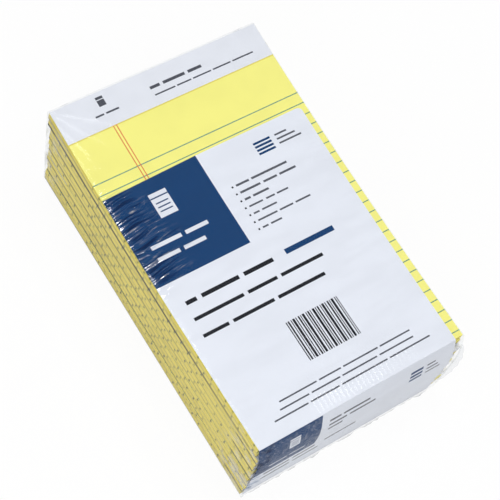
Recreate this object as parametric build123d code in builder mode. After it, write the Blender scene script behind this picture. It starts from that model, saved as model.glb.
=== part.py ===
"""Pack of twelve junior legal pads, shrink-wrapped in clear film with one folded paper label.

The pads lie flat and lean a little as a stack. Most of them have their bound end turned to alternate
ends of the pack, so both ends of the stack are higher than its middle and every pad is bent to suit.
Frame: +X across the pads, +Y towards the bound end of the top pad, +Z up, origin on the ground.
"""

import os
from dataclasses import dataclass

from build123d import *

# One pad, lying face up
pad_width = 127.0
pad_length = 203.2
sheets_thickness = 4.4
board_thickness = 0.6
header_paper = 0.12
header_depth = 20.0

# Air between papers that lie on each other, and the glued fold of a bound end, which holds the next pad off
paper_gap = 0.02
binding_bulk = 0.11

# Stack, from the bottom pad up: the bound ends, the lean of the top pad against the bottom one,
# and how far each pad lies off that lean, across and along
bound_ends = ["far", "near", "far", "near", "far", "near", "far", "near", "far", "near", "far", "far"]
lean_across = -1.2
lean_along = 5.4
pad_shifts = [
    (0.0, 0.0),
    (-0.2, -0.6),
    (0.2, -1.6),
    (0.1, -1.5),
    (-0.1, -1.2),
    (0.2, -1.6),
    (0.2, -1.9),
    (0.0, -1.7),
    (0.1, -1.8),
    (0.2, -2.2),
    (-0.1, -0.3),
    (0.0, 0.0),
]

# Paper label: it lies on the top page, folds over the near end and hangs down to just above the ground
label_thickness = 0.1
label_width = 121.0
label_below_head = 55.0
label_above_ground = 1.6
label_end_gap = 0.5
label_lift = 0.08

# Shrink film: a closed bag with rounded edges, and an ear of doubled film at the near right corner
film_thickness = 0.05
film_top_gap = 0.12
film_end_gap = 0.25
film_side_gap = 0.4
film_edge = 0.5
ear_reach = 3.4
ear_low = 9.0
ear_high = 57.0

# How the end of the wrap runs: straight up from the ground to a knee, then in an arc to the fold over the
# top pad, with the knee's place in shares of the way out and of the way up
knee_out = 0.9
knee_up = 0.6

half_length = pad_length / 2
half_width = pad_width / 2
sheets_lift = board_thickness + paper_gap
slab = sheets_lift + sheets_thickness
flap_bulk = header_paper + paper_gap
pad_pitch = slab + paper_gap
stack_height = pad_pitch * len(bound_ends)
rate_across = lean_across / (pad_pitch * (len(bound_ends) - 1))
rate_along = lean_along / (pad_pitch * (len(bound_ends) - 1))

# The ear stands out to the right and to the near end, so the stack's middle is set back by half of that
ear_overhang = ear_reach / 2**0.5 - film_edge
middle_x = -ear_overhang / 2
middle_y = 0.5


@dataclass
class Pad:
    """Where one pad lies: its middle, its underside at the middle and how far that rises at each end."""

    name: str
    bound: str
    x: float
    y: float
    base: float
    rises: dict

    def height(self, y, lift=0.0):
        """Height at a place along the pad, lift above its underside: an arc from the middle of the pack."""
        rise = self.rises["far" if y > middle_y else "near"]
        if not rise:
            return self.base + lift
        radius = (half_length**2 + rise**2) / (2 * rise)
        return self.base + lift + radius - (radius**2 - (y - middle_y) ** 2) ** 0.5

    def along(self, y, lift):
        """Point of the bent pad in the side view."""
        return (y, self.height(y, lift))

    def ends(self):
        """Places of the near and the far end, with the header strip's spine."""
        near = self.y - half_length - (flap_bulk if self.bound == "near" else 0)
        far = self.y + half_length + (flap_bulk if self.bound == "far" else 0)
        return near, far


def stack_pads():
    """Lays the pads on each other: each bound end lifts what lies on it."""
    pads = []
    rises = {"far": 0.0, "near": 0.0}
    base = film_thickness + paper_gap
    middle_height = base + (stack_height - pad_pitch) / 2
    for number, (bound, shift) in enumerate(zip(bound_ends, pad_shifts), start=1):
        x = middle_x + rate_across * (base - middle_height) + shift[0]
        y = middle_y + rate_along * (base - middle_height) + shift[1]
        side = 1 if bound == "far" else -1
        hem_share = (half_length - header_depth + side * (y - middle_y)) / half_length
        flap_rise = flap_bulk / hem_share**2
        rises[bound] += flap_rise + binding_bulk
        pads.append(Pad(f"pad_{number:02d}", bound, x, y, base, dict(rises)))
        rises[bound] += flap_rise
        base += pad_pitch
    return pads


def bend(pad, lift, start, end):
    """Draws a line along a pad's bend, as arcs that meet at the middle of the pack."""
    stops = [start, end]
    if (start - middle_y) * (end - middle_y) < 0:
        stops = [start, middle_y, end]
    for a, b in zip(stops, stops[1:]):
        between = pad.along((a + b) / 2, lift)
        if pad.height(a) == pad.height(b):
            Line(pad.along(a, lift), pad.along(b, lift))
        else:
            ThreePointArc(pad.along(a, lift), between, pad.along(b, lift))


def make_layer(pad, low, high):
    """Makes one layer of a pad, between two heights above its underside."""
    near = pad.y - half_length
    far = pad.y + half_length
    with BuildPart() as layer:
        with BuildSketch(Plane.YZ.offset(pad.x - half_width)):
            with BuildLine():
                bend(pad, low, near, far)
                Line(pad.along(far, low), pad.along(far, high))
                bend(pad, high, far, near)
                Line(pad.along(near, high), pad.along(near, low))
            make_face()
        extrude(amount=pad_width, clean=False)
    return layer.part


def make_header(pad):
    """Makes the paper strip folded over a pad's bound end: front flap, spine and back flap."""
    side = 1 if pad.bound == "far" else -1
    hem = pad.y + side * (half_length - header_depth)
    inner = pad.y + side * (half_length + paper_gap)
    outer = inner + side * header_paper
    front = slab + paper_gap
    with BuildPart() as header:
        with BuildSketch(Plane.YZ.offset(pad.x - half_width)):
            with BuildLine():
                bend(pad, front, hem, inner)
                Line(pad.along(inner, front), pad.along(inner, -paper_gap))
                bend(pad, -paper_gap, inner, hem)
                Line(pad.along(hem, -paper_gap), pad.along(hem, -flap_bulk))
                bend(pad, -flap_bulk, hem, outer)
                Line(pad.along(outer, -flap_bulk), pad.along(outer, slab + flap_bulk))
                bend(pad, slab + flap_bulk, outer, hem)
                Line(pad.along(hem, slab + flap_bulk), pad.along(hem, front))
            make_face()
        extrude(amount=pad_width, clean=False)
    return header.part


def wrap_end(pads, lift, gap, ground):
    """Gives the near end of the wrap in the side view: the fold's corner, the knee and the foot."""
    top = pads[-1]
    top_y = top.ends()[0] - gap
    foot_y = min(pad.ends()[0] for pad in pads) - gap
    corner = top.along(top_y, lift)
    knee = (top_y + (foot_y - top_y) * knee_out, ground + (corner[1] - ground) * knee_up)
    return corner, knee, (foot_y, ground)


def draw_end(corner, knee, foot):
    """Draws the near end of the wrap."""
    Line(foot, knee)
    TangentArc(knee, corner, tangent=(knee[0] - foot[0], knee[1] - foot[1]))


def make_label(pads):
    """Makes the label: flat on the top page, folded over the near end, hanging straight down."""
    top = pads[-1]
    head = top.y + half_length - label_below_head
    left = max(top.x, pads[0].x - film_side_gap / 2) - half_width
    inner_lift = slab + label_lift
    outer_lift = inner_lift + label_thickness
    with BuildPart() as label:
        with BuildSketch(Plane.YZ.offset(left)):
            with BuildLine():
                hems = []
                for lift, gap in (
                    (inner_lift, label_end_gap),
                    (outer_lift, label_end_gap + label_thickness),
                ):
                    corner, knee, foot = wrap_end(pads, lift, gap, label_above_ground)
                    bend(top, lift, head, corner[0])
                    draw_end(corner, knee, foot)
                    hems.append(foot)
                Line(hems[0], hems[1])
                Line(top.along(head, inner_lift), top.along(head, outer_lift))
            make_face()
        extrude(amount=label_width, clean=False)
    return label.part


def make_bag(pads, skin):
    """Makes the solid that the film encloses, skin larger all round than the film's inner face."""
    top = pads[-1]
    ground = film_thickness - skin
    lift = slab + flap_bulk + film_top_gap + skin
    end_gap = label_end_gap + label_thickness + film_end_gap + skin
    corner, knee, foot = wrap_end(pads, lift, end_gap, ground)

    far_reach = max(pad.ends()[1] - rate_along * pad.base for pad in pads) + film_end_gap + skin
    heel = (far_reach + rate_along * ground, ground)
    crown = top.along(far_reach + rate_along * (top.base + slab), lift)

    left_reach = min(pad.x - half_width - rate_across * pad.base for pad in pads) - film_side_gap - skin
    right_reach = max(pad.x + half_width - rate_across * (pad.base + slab) for pad in pads)
    right_reach += film_side_gap + skin

    with BuildPart() as bag:
        with BuildSketch(Plane.YZ):
            with BuildLine():
                bend(top, lift, crown[0], corner[0])
                draw_end(corner, knee, foot)
                Line(foot, heel)
                Line(heel, crown)
            make_face()
        extrude(amount=pad_width, both=True, clean=False)
        ceiling = stack_height * 2
        with BuildSketch(Plane.XZ):
            Polygon(
                (left_reach + rate_across * -ceiling, -ceiling),
                (right_reach + rate_across * -ceiling, -ceiling),
                (right_reach + rate_across * ceiling, ceiling),
                (left_reach + rate_across * ceiling, ceiling),
                align=None,
            )
        extrude(amount=pad_length, both=True, mode=Mode.INTERSECT)
        across = bag.edges().filter_by(Axis.X)
        seam = across.sort_by(lambda edge: abs(edge.center().Y - middle_y))[0]
        fillet([edge for edge in bag.edges() if edge != seam], radius=film_edge + skin)
    return bag.part


def make_film(pads):
    """Makes the film: the bag's skin, and the ear that its gathered corner leaves standing."""
    outer = make_bag(pads, film_thickness)
    inner = make_bag(pads, 0.0)
    box = outer.bounding_box()
    knee = wrap_end(pads, slab, label_end_gap, 0.0)[1]
    diagonal = Plane(origin=(box.max.X, knee[0], 0), x_dir=(1, -1, 0), z_dir=(-1, -1, 0))
    with BuildPart() as film:
        add(outer)
        with BuildSketch(diagonal):
            with BuildLine():
                root = -2 * film_edge - ear_reach
                tip = ear_reach - 2 * film_edge
                bulge = (2 * ear_high + ear_low) / 3
                Line((root, ear_low), (root, ear_high))
                Bezier((root, ear_high), (tip, ear_high), (tip, bulge))
                Bezier((tip, bulge), (tip, ear_low), (root, ear_low))
            make_face()
        extrude(amount=film_thickness, both=True)
        add(inner, mode=Mode.SUBTRACT)
    return film.part


def write(part, name):
    """Writes one piece as its own file."""
    part.label = name
    export_step(part, f"parts/{name}.step")


os.makedirs("parts", exist_ok=True)
pads = stack_pads()
for pad in pads:
    write(make_layer(pad, 0, board_thickness), f"{pad.name}_board")
    write(make_layer(pad, sheets_lift, slab), f"{pad.name}_sheets")
    write(make_header(pad), f"{pad.name}_header")
write(make_label(pads), "wrap_label")
write(make_film(pads), "shrink_film")
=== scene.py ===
"""Shrink-wrapped pack of junior legal pads.

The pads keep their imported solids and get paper, print and board finishes. The label and the film are
modelled here as finer sheets: the label is cut flat along its print and then folded over the pack, and the
film is a subdivided bag that follows the leaning stack, with pleats where it has shrunk. Lengths are in
metres, +X across the pads, +Y towards the bound end of the top pad, +Z up.
"""

import logging
import math
from dataclasses import dataclass, field
from enum import Enum, IntEnum

import bmesh
import bpy
from mathutils import Matrix, Vector, noise

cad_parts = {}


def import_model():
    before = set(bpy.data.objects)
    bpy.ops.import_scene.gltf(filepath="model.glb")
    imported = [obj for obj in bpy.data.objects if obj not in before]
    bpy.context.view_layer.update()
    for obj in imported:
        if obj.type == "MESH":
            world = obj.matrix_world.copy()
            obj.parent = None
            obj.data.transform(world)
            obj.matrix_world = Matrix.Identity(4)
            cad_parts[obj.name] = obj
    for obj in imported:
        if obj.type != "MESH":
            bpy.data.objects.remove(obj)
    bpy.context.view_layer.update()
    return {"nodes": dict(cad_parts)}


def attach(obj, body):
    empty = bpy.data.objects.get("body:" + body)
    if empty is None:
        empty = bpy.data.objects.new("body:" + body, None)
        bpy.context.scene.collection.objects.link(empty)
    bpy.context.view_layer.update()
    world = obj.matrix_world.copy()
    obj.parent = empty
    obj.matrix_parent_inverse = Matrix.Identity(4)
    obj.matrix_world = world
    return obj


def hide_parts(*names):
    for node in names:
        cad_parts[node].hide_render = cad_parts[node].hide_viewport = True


log = logging.getLogger("legal_pads")

MM = 0.001


class BoundEnd(Enum):
    """The end of the pack at which a pad is bound, as a direction along Y."""

    FAR = 1
    NEAR = -1


class Ink(IntEnum):
    """Material slots of the printed label."""

    PAPER = 0
    NAVY = 1
    BLACK = 2
    GREY = 3
    PICTOGRAM = 4


@dataclass(frozen=True)
class PadPlace:
    """Where one pad lies, how its ends rise, and how dark the wedge under it shows.

    Attributes:
        name: The pad's name.
        bound: Its bound end.
        y: The middle of its length.
        base: Its underside at the middle of the pack.
        far: Rise of its far end.
        near: Rise of its near end.
        dark: Depth of the shadow under it; above 1, the wedge is wider too.
    """

    name: str
    bound: BoundEnd
    y: float
    base: float
    far: float
    near: float
    dark: float

    def head(self, half_length: float) -> float:
        """Gives the place of the pad's bound end."""
        return self.y + self.bound.value * half_length


@dataclass(frozen=True)
class StackShape:
    """The leaning, sagging stack that the label and the film lie on."""

    page_left: float = -65.052 * MM
    page_head: float = 104.8 * MM
    half_length: float = 101.6 * MM
    middle: float = 0.5 * MM
    page: float = 60.53 * MM
    rise_far: float = 3.672 * MM
    rise_near: float = 2.630 * MM
    fold: float = -98.4 * MM
    foot: float = -104.418 * MM
    knee_out: float = 0.9
    knee_up: float = 0.6
    lean_across: float = -0.02165
    lean_along: float = 0.0974
    left_wall: float = -64.05 * MM
    right_wall: float = 63.458 * MM
    far_wall: float = 99.533 * MM

    def top(self, y: float) -> float:
        """Gives the height of the top page.

        Args:
            y: Place along the pack.

        Returns:
            The height of the page there, on the arc from the middle to that end.
        """
        rise = self.rise_far if y > self.middle else self.rise_near
        radius = (self.half_length**2 + rise**2) / (2 * rise)
        return self.page + radius - math.sqrt(radius**2 - (y - self.middle) ** 2)

    def near_end(self, z: float, lift: float, gap: float) -> float:
        """Gives the place of the wrap's near end at a height.

        Args:
            z: Height above the ground.
            lift: Height of the fold above the top page.
            gap: Distance from the pads.

        Returns:
            The place along Y: a straight run up to the knee, then an arc to the fold.
        """
        fold = self.fold - gap
        foot = self.foot - gap
        crest = self.top(fold) + lift
        knee_y = fold + (foot - fold) * self.knee_out
        knee_z = crest * self.knee_up
        slope = (knee_y - foot) / knee_z
        if z <= knee_z:
            return foot + slope * z
        bend = (fold - knee_y - slope * (crest - knee_z)) / (crest - knee_z) ** 2
        return knee_y + slope * (z - knee_z) + bend * (z - knee_z) ** 2


PADS = (
    PadPlace("pad_01", BoundEnd.FAR, -2.200 * MM, 0.07 * MM, 0.342 * MM, 0.000 * MM, 0.25),
    PadPlace("pad_02", BoundEnd.NEAR, -2.309 * MM, 5.11 * MM, 0.574 * MM, 0.313 * MM, 0.75),
    PadPlace("pad_03", BoundEnd.FAR, -2.818 * MM, 10.15 * MM, 0.920 * MM, 0.516 * MM, 0.85),
    PadPlace("pad_04", BoundEnd.NEAR, -2.227 * MM, 15.19 * MM, 1.156 * MM, 0.829 * MM, 0.8),
    PadPlace("pad_05", BoundEnd.FAR, -1.436 * MM, 20.23 * MM, 1.494 * MM, 1.032 * MM, 0.55),
    PadPlace("pad_06", BoundEnd.NEAR, -1.345 * MM, 25.27 * MM, 1.721 * MM, 1.350 * MM, 0.8),
    PadPlace("pad_07", BoundEnd.FAR, -1.155 * MM, 30.31 * MM, 2.057 * MM, 1.557 * MM, 0.75),
    PadPlace("pad_08", BoundEnd.NEAR, -0.464 * MM, 35.35 * MM, 2.284 * MM, 1.879 * MM, 0.85),
    PadPlace("pad_09", BoundEnd.FAR, -0.073 * MM, 40.39 * MM, 2.614 * MM, 2.091 * MM, 0.75),
    PadPlace("pad_10", BoundEnd.NEAR, 0.018 * MM, 45.43 * MM, 2.834 * MM, 2.416 * MM, 0.8),
    PadPlace("pad_11", BoundEnd.FAR, 2.409 * MM, 50.47 * MM, 3.151 * MM, 2.630 * MM, 1.4),
    PadPlace("pad_12", BoundEnd.FAR, 3.200 * MM, 55.51 * MM, 3.672 * MM, 2.630 * MM, 0.35),
)

Socket = bpy.types.NodeSocket
Colour = tuple[float, float, float]


class Shader:
    """A material's node tree while it is being wired."""

    def __init__(self, name: str) -> None:
        """Starts an empty material with its output and Object coordinates.

        Args:
            name: The material's name.
        """
        self.material = bpy.data.materials.new(name)
        self.material.use_nodes = True
        self.tree = self.material.node_tree
        self.tree.nodes.clear()
        self.output = self.tree.nodes.new("ShaderNodeOutputMaterial")
        place = self.tree.nodes.new("ShaderNodeTexCoord").outputs["Object"]
        self.place = place
        apart = self.node("ShaderNodeSeparateXYZ", {"Vector": place})
        self.x, self.y, self.z = apart.outputs[0], apart.outputs[1], apart.outputs[2]

    def node(self, kind: str, inputs: dict | None = None, **settings: object) -> bpy.types.Node:
        """Adds a node.

        Args:
            kind: The node's type name.
            inputs: Values or sockets by input name or number.
            settings: Properties of the node itself.

        Returns:
            The new node.
        """
        made = self.tree.nodes.new(kind)
        for key, value in settings.items():
            setattr(made, key, value)
        for key, value in (inputs or {}).items():
            if isinstance(value, Socket):
                self.tree.links.new(value, made.inputs[key])
            else:
                made.inputs[key].default_value = value
        return made

    def math(self, operation: str, first: Socket | float, second: Socket | float = 0.0) -> Socket:
        """Adds a Math node and gives its result."""
        return self.node("ShaderNodeMath", {0: first, 1: second}, operation=operation).outputs[0]

    def mix(self, factor: Socket, under: Socket | Colour, over: Socket | Colour) -> Socket:
        """Mixes two colours.

        Args:
            factor: Share of the upper colour.
            under: Colour at a share of 0.
            over: Colour at a share of 1.

        Returns:
            The mixed colour.
        """
        made = self.node("ShaderNodeMix", {0: factor}, data_type="RGBA")
        for key, value in ((6, under), (7, over)):
            if isinstance(value, Socket):
                self.tree.links.new(value, made.inputs[key])
            else:
                made.inputs[key].default_value = (*value, 1.0)
        return made.outputs[2]

    def ramp(self, value: Socket, low: float, high: float) -> Socket:
        """Maps a value smoothly to a share.

        Args:
            value: The value.
            low: Where the share is 0.
            high: Where the share is 1.

        Returns:
            The share.
        """
        return self.node(
            "ShaderNodeMapRange",
            {0: value, 1: low, 2: high, 3: 0.0, 4: 1.0},
            interpolation_type="SMOOTHSTEP",
        ).outputs[0]

    def grain(self, stretch: tuple[float, float, float], scale: float, detail: float = 3.0) -> Socket:
        """Adds noise in stretched Object coordinates.

        Args:
            stretch: Scale along each axis before the noise.
            scale: Scale of the noise itself, per metre.
            detail: Octaves of the noise.

        Returns:
            A value round 0.5.
        """
        moved = self.node("ShaderNodeMapping", {"Vector": self.place, "Scale": stretch})
        inputs = {"Vector": moved.outputs[0], "Scale": scale, "Detail": detail, "Roughness": 0.6}
        return self.node("ShaderNodeTexNoise", inputs).outputs[0]

    def band(self, value: Socket, centre: float, half: float) -> Socket:
        """Gives 1 within half of centre and 0 outside."""
        return self.node("ShaderNodeMath", {0: value, 1: centre, 2: half}, operation="COMPARE").outputs[0]

    def both(self, first: Socket, second: Socket) -> Socket:
        """Gives the product of two masks."""
        return self.math("MULTIPLY", first, second)

    def facing(self, axis: int) -> Socket:
        """Gives how far a surface looks along an axis: 0 for X, 1 for Y and 2 for Z."""
        normal = self.node("ShaderNodeNewGeometry").outputs["Normal"]
        return self.node("ShaderNodeSeparateXYZ", {0: normal}).outputs[axis]

    def facing_up(self) -> Socket:
        """Gives 1 on surfaces that look up and 0 on the rest."""
        return self.math("GREATER_THAN", self.facing(2), 0.5)

    def facing_down(self) -> Socket:
        """Gives 1 on surfaces that look down and 0 on the rest."""
        return self.math("LESS_THAN", self.facing(2), -0.5)

    def sideways(self) -> Socket:
        """Gives 1 on surfaces that look across the pads and 0 on the rest."""
        return self.math("GREATER_THAN", self.math("ABSOLUTE", self.facing(0)), 0.5)

    def chance(self, row: Socket, head: float, layer: Socket | float) -> Socket:
        """Gives a fixed random value for each rule of a pad.

        Args:
            row: The rule's number.
            head: The pad's bound end, which tells the pads apart.
            layer: Number of the leaf, or one value for the whole pad.

        Returns:
            A value from 0 to 1.
        """
        cell = self.node("ShaderNodeCombineXYZ", {0: row, 1: head * 1000, 2: layer})
        inputs = {0: cell.outputs[0]}
        return self.node("ShaderNodeTexWhiteNoise", inputs, noise_dimensions="3D").outputs["Value"]

    def below(self, pad: PadPlace, head: float) -> Socket:
        """Gives the distance from a pad's bound end, which lies at head."""
        return self.math("MULTIPLY", self.math("SUBTRACT", head, self.y), pad.bound.value)

    def above(self, pad: PadPlace, shape: StackShape) -> Socket:
        """Gives the height above a pad's underside, along its bend.

        Args:
            pad: The pad.
            shape: The stack, for the bend's middle.

        Returns:
            The height, in metres.
        """
        along = self.math("DIVIDE", self.math("SUBTRACT", self.y, shape.middle), shape.half_length)
        beyond = self.math("GREATER_THAN", along, 0.0)
        rise = self.math("ADD", self.math("MULTIPLY", beyond, pad.far - pad.near), pad.near)
        bent = self.math("MULTIPLY", rise, self.math("MULTIPLY", along, along))
        return self.math("SUBTRACT", self.math("SUBTRACT", self.z, pad.base), bent)

    def wedge(self, pad: PadPlace, below: Socket) -> Socket:
        """Gives how deep the shadow under a pad is, from its bound end along its length.

        Args:
            pad: The pad.
            below: Distance from the pad's bound end.

        Returns:
            1 where the wedge beside the bound end is open, 0 where the pads touch.
        """
        ragged = self.math("ADD", below, self.math("MULTIPLY", self.grain((1.0, 1.0, 30.0), 120.0), 6 * MM))
        if pad.bound is BoundEnd.NEAR:
            gone = self.ramp(ragged, 19.5 * MM, 22.5 * MM)
        else:
            gone = self.ramp(ragged, 30 * MM, 190 * MM * (0.55 + 0.75 * pad.dark))
        return self.math("MULTIPLY", self.math("SUBTRACT", 1.0, gone), pad.dark)

    def bump(self, height: Socket, distance: float, strength: float) -> Socket:
        """Turns a height into a bumped normal."""
        inputs = {"Height": height, "Distance": distance, "Strength": strength}
        return self.node("ShaderNodeBump", inputs).outputs[0]

    def paper(
        self, colour: Socket, roughness: float, normal: Socket, gloss: float = 0.25
    ) -> bpy.types.Material:
        """Closes the tree with a paper-like surface.

        Args:
            colour: Base colour.
            roughness: Roughness all over.
            normal: Bumped normal.
            gloss: Specular level.

        Returns:
            The finished material.
        """
        inputs = {"Base Color": colour, "Roughness": roughness, "Specular IOR Level": gloss, "Normal": normal}
        surface = self.node("ShaderNodeBsdfPrincipled", inputs)
        self.tree.links.new(surface.outputs[0], self.output.inputs[0])
        return self.material


@dataclass(frozen=True)
class CanarySheets:
    """Canary writing paper, ruled and margined on its face, with the rules' ends showing at its sides."""

    page: Colour = (0.90, 0.855, 0.235)
    edge: Colour = (0.82, 0.69, 0.137)
    edge_shade: Colour = (0.53, 0.43, 0.074)
    rule: Colour = (0.08, 0.26, 0.23)
    hem_shade: Colour = (0.66, 0.54, 0.07)
    wedge_shade: Colour = (0.06, 0.055, 0.045)
    margin: Colour = (0.70, 0.12, 0.045)
    dot: Colour = (0.045, 0.07, 0.075)
    first_rule: float = 45.4 * MM
    rule_pitch: float = 6.44 * MM
    rule_width: float = 0.52 * MM
    margins: tuple[float, float] = (26.5 * MM, 28.3 * MM)
    margin_width: float = 0.48 * MM
    hem: float = 20.0 * MM
    hem_width: float = 1.1 * MM
    dot_height: float = 2.5 * MM
    dot_scatter: float = 0.9 * MM
    leaf_pitch: float = 0.28 * MM
    wedge_high: float = 1.25 * MM
    roughness: float = 0.82

    def material(self, pad: PadPlace, shape: StackShape) -> bpy.types.Material:
        """Makes one pad's sheets, with the rules counted from its own bound end.

        Args:
            pad: The pad that the sheets belong to.
            shape: The stack, for the page's left edge.

        Returns:
            The sheets' material.
        """
        s = Shader(f"canary_sheets_{pad.name}")
        head = pad.head(shape.half_length)
        below = s.below(pad, head)
        turn = s.math("DIVIDE", s.math("SUBTRACT", below, self.first_rule), self.rule_pitch)
        row = s.math("ROUND", turn)
        off = s.math("ABSOLUTE", s.math("SUBTRACT", turn, row))
        ruled = s.math("GREATER_THAN", below, self.first_rule - self.rule_pitch / 2)

        # The face: a soft mottle, a painted shadow under the header's hem, rules and margin lines
        mottle = s.grain((1.0, 1.0, 1.0), 55.0)
        face = s.mix(s.ramp(mottle, 0.3, 0.75), self.page, tuple(c * 0.955 for c in self.page))
        line = s.math("LESS_THAN", off, self.rule_width / 2 / self.rule_pitch)
        # Painted shadow: a darker band just below the header's hem
        past_hem = s.ramp(below, self.hem, self.hem + 0.05 * MM)
        hem = s.both(past_hem, s.ramp(below, self.hem + self.hem_width, self.hem))
        face = s.mix(s.math("MULTIPLY", hem, 0.9), face, self.hem_shade)
        face = s.mix(s.both(line, ruled), face, self.rule)
        for inset in self.margins:
            stripe = s.band(s.x, shape.page_left + inset, self.margin_width / 2)
            face = s.mix(stripe, face, self.margin)

        # The sides: streaks of single sheets, drifts of shade, dots where the rules reach the edge, broken
        # into the marks of single leaves, and the shadow under the pad
        streaks = s.grain((8.0, 8.0, 2600.0), 1.0, 4.0)
        drift = s.grain((1.0, 1.0, 6.0), 34.0)
        shade = s.math("ADD", s.math("MULTIPLY", streaks, 0.6), s.math("MULTIPLY", drift, 0.5))
        side = s.mix(s.ramp(shade, 0.46, 0.86), self.edge, self.edge_shade)
        high = s.above(pad, shape)
        chance = s.chance(row, head, 0.5)
        middle = s.math("ADD", s.math("MULTIPLY", chance, self.dot_scatter), self.dot_height)
        away = s.math("ABSOLUTE", s.math("SUBTRACT", high, middle))
        spot = s.both(s.ramp(off, 0.12, 0.05), s.ramp(away, 1.9 * MM, 0.7 * MM))
        leaf = s.math("FLOOR", s.math("DIVIDE", high, self.leaf_pitch))
        spot = s.both(s.both(spot, ruled), s.ramp(chance, 0.0, 0.45))
        spot = s.both(spot, s.ramp(s.chance(row, head, leaf), 0.1, 0.6))
        side = s.mix(s.math("MULTIPLY", spot, 0.9), side, self.dot)
        open_high = self.wedge_high * max(1.0, pad.dark)
        low = s.ramp(high, open_high + 0.25 * MM, open_high)
        side = s.mix(s.both(low, s.wedge(pad, below)), side, self.wedge_shade)

        up = s.facing_up()
        tooth = s.math("ADD", s.math("MULTIPLY", streaks, 0.7), s.grain((1.0, 1.0, 1.0), 900.0))
        return s.paper(s.mix(up, side, face), self.roughness, s.bump(tooth, 0.06 * MM, 0.25))


@dataclass(frozen=True)
class Chipboard:
    """Grey-cream chipboard backs, dark where the wedge beside a bound end leaves them in shadow."""

    pale: Colour = (0.56, 0.50, 0.20)
    fibre: Colour = (0.36, 0.32, 0.15)
    shadow: Colour = (0.055, 0.047, 0.035)
    under: Colour = (0.46, 0.40, 0.30)
    roughness: float = 0.9

    def material(self, pad: PadPlace, shape: StackShape) -> bpy.types.Material:
        """Makes one pad's board.

        Args:
            pad: The pad that the board belongs to.
            shape: The stack, for the pad's length.

        Returns:
            The board's material.
        """
        s = Shader(f"chipboard_{pad.name}")
        head = pad.head(shape.half_length)
        below = s.below(pad, head)
        speckle = s.grain((1.0, 1.0, 1.0), 700.0)
        colour = s.mix(s.ramp(speckle, 0.35, 0.75), self.pale, self.fibre)
        colour = s.mix(s.wedge(pad, below), colour, self.shadow)
        back = s.mix(s.ramp(speckle, 0.3, 0.8), self.under, tuple(c * 0.8 for c in self.under))
        colour = s.mix(s.facing_down(), colour, back)
        return s.paper(colour, self.roughness, s.bump(speckle, 0.08 * MM, 0.4))


@dataclass(frozen=True)
class HeaderPaper:
    """White header strips with a slight blue cast; the top one carries plain printed bars, and on the others
    the sides carry a painted shadow.
    """

    white: Colour = (0.745, 0.765, 0.825)
    print_grey: Colour = (0.06, 0.065, 0.085)
    painted_side_shadow: Colour = (0.20, 0.18, 0.12)
    roughness: float = 0.7
    gloss: float = 0.35

    def material(self, pad: PadPlace, shape: StackShape, printed: bool) -> bpy.types.Material:
        """Makes one pad's header strip.

        Args:
            pad: The pad that the strip binds.
            shape: The stack, for the printed bars' places.
            printed: Whether the front flap shows its print; without it, the strip's sides get a painted
                shadow.

        Returns:
            The strip's material.
        """
        s = Shader(f"header_paper_{pad.name}")
        clouds = s.grain((1.0, 1.0, 1.0), 90.0)
        colour = s.mix(s.ramp(clouds, 0.35, 0.7), self.white, tuple(c * 0.965 for c in self.white))
        if printed:
            up = s.facing_up()
            for left, right, below, half in self.bars():
                centre = shape.page_left + (left + right) / 2
                across = s.band(s.x, centre, (right - left) / 2)
                along = s.band(s.y, shape.page_head - below, half)
                colour = s.mix(s.both(s.both(across, along), up), colour, self.print_grey)
        else:
            # Painted shadow on the strip's sides, where they sit in the gap between pads
            colour = s.mix(s.sideways(), colour, self.painted_side_shadow)
        fibre = s.grain((1.0, 1.0, 1.0), 1100.0)
        return s.paper(colour, self.roughness, s.bump(fibre, 0.04 * MM, 0.2), self.gloss)

    def bars(self) -> list[tuple[float, float, float, float]]:
        """Gives the printed bars of the top header.

        Returns:
            For each bar its left end, right end, distance below the head and half height.
        """
        rows = [
            ((55.0, 61.0, 63.0, 76.5, 78.5, 87.0), 9.6, 0.85),
            ((55.5, 68.0, 69.2, 78.0, 79.2, 90.5, 91.7, 103.0, 104.2, 117.5), 14.2, 0.42),
            ((20.5, 25.5, 26.8, 34.5), 12.4, 0.5),
            ((25.4, 29.6), 3.2, 0.75),
            ((25.4, 29.6), 6.2, 1.8),
        ]
        made = []
        for stops, below, half in rows:
            for left, right in zip(stops[::2], stops[1::2]):
                made.append((left * MM, right * MM, below * MM, half * MM))
        return made


@dataclass(frozen=True)
class LabelStock:
    """Coated label paper and its inks, with the faint cockle of a sheet under film."""

    white: Colour = (0.765, 0.79, 0.86)
    navy: Colour = (0.003, 0.044, 0.148)
    black: Colour = (0.010, 0.011, 0.016)
    grey: Colour = (0.10, 0.105, 0.125)
    pictogram: Colour = (0.74, 0.76, 0.82)
    roughness: float = 0.6
    gloss: float = 0.1

    def materials(self) -> list[bpy.types.Material]:
        """Makes the materials of the label.

        Returns:
            One material for each ink, in the order of Ink.
        """
        made = []
        for name, colour in (
            ("label_paper", self.white),
            ("label_navy", self.navy),
            ("label_black", self.black),
            ("label_grey", self.grey),
            ("label_pictogram", self.pictogram),
        ):
            s = Shader(name)
            cockle = s.grain((0.25, 1.0, 1.0), 110.0)
            laid = s.mix(s.ramp(cockle, 0.35, 0.7), colour, tuple(c * 0.95 for c in colour))
            fibre = s.grain((1.0, 1.0, 1.0), 1300.0)
            height = s.math("ADD", cockle, s.math("MULTIPLY", fibre, 0.08))
            made.append(s.paper(laid, self.roughness, s.bump(height, 0.25 * MM, 0.25), self.gloss))
        return made


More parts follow.
